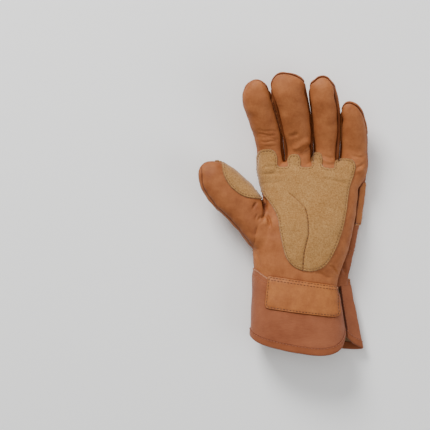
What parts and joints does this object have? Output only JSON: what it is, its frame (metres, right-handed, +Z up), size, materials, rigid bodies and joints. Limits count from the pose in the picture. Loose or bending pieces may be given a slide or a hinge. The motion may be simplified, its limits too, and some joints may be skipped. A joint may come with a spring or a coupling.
{
  "type": "safety work glove",
  "caption": "Leather-palm work glove for the left hand, lying palm up, with suede palm patch, canvas back and slit safety cuff.",
  "frame": {"origin": "middle of the glove's outline, on the surface that its back lies on", "axes": "+Z up out of the palm, +Y towards the fingertips, -X towards the thumb"},
  "size_m": [0.1652, 0.2726, 0.0606],
  "materials": {
    "leather": "smooth orange-brown grain leather, matt",
    "suede": "tan split suede",
    "canvas": "reddish brown cotton canvas",
    "trim": "orange-brown turned and stitched edge"
  },
  "bodies": {
    "root": {"palm_panel": "leather", "palm_patch": "suede", "thumb_front": "leather", "thumb_patch": "suede", "thumb_back": "leather", "side_panel": "leather", "back_panel": "canvas", "knuckle_strap": "leather", "tip_middle": "leather", "tip_ring": "leather", "tip_little": "leather", "fourchette_index": "leather", "fourchette_middle": "leather", "fourchette_ring": "leather", "cuff": "canvas", "hem": "trim", "label_patch": "leather"}
  },
  "joints": []
}
